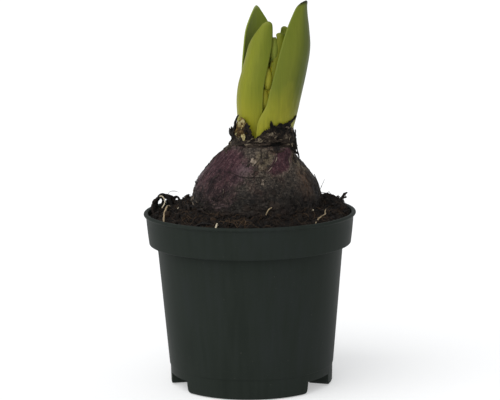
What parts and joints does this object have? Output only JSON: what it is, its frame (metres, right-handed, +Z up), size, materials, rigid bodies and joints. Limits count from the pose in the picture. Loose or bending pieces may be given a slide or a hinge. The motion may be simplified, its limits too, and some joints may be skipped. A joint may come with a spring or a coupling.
{
  "type": "potted hyacinth bulb",
  "caption": "Flowering bulb coming into leaf: a round bulb half sunk in peat in a tapered plastic grower's pot, with short upright leaves and closed buds.",
  "frame": {"origin": "middle of the pot's underside, on the plane that its feet stand on", "axes": "+Z up, -Y the front, on which the picture looks, +X to the right"},
  "size_m": [0.09, 0.09, 0.1618],
  "materials": {
    "pot": "satin dark green-grey plastic",
    "soil": "dark brown fibrous peat compost",
    "bulb": "dull purple papery skin over flesh",
    "neck_scales": "dead, ragged, nearly black",
    "pale_scale": "dry cream and tan",
    "leaf": "waxy yellow-green",
    "leaf_dark": "waxy dark olive green",
    "flower_spike": "soft green to yellow buds",
    "pale_root": "dry and pale"
  },
  "bodies": {
    "root": {"pot": "pot", "soil": "soil", "bulb": "bulb", "neck_scales": "neck_scales", "pale_scale": "pale_scale", "leaf_right": "leaf", "leaf_front_left": "leaf", "leaf_back_left": "leaf_dark", "leaf_inner_front": "leaf", "leaf_inner_back": "leaf", "flower_spike": "flower_spike", "pale_root_left": "pale_root", "pale_root_right": "pale_root", "pale_root_front": "pale_root"}
  },
  "joints": []
}
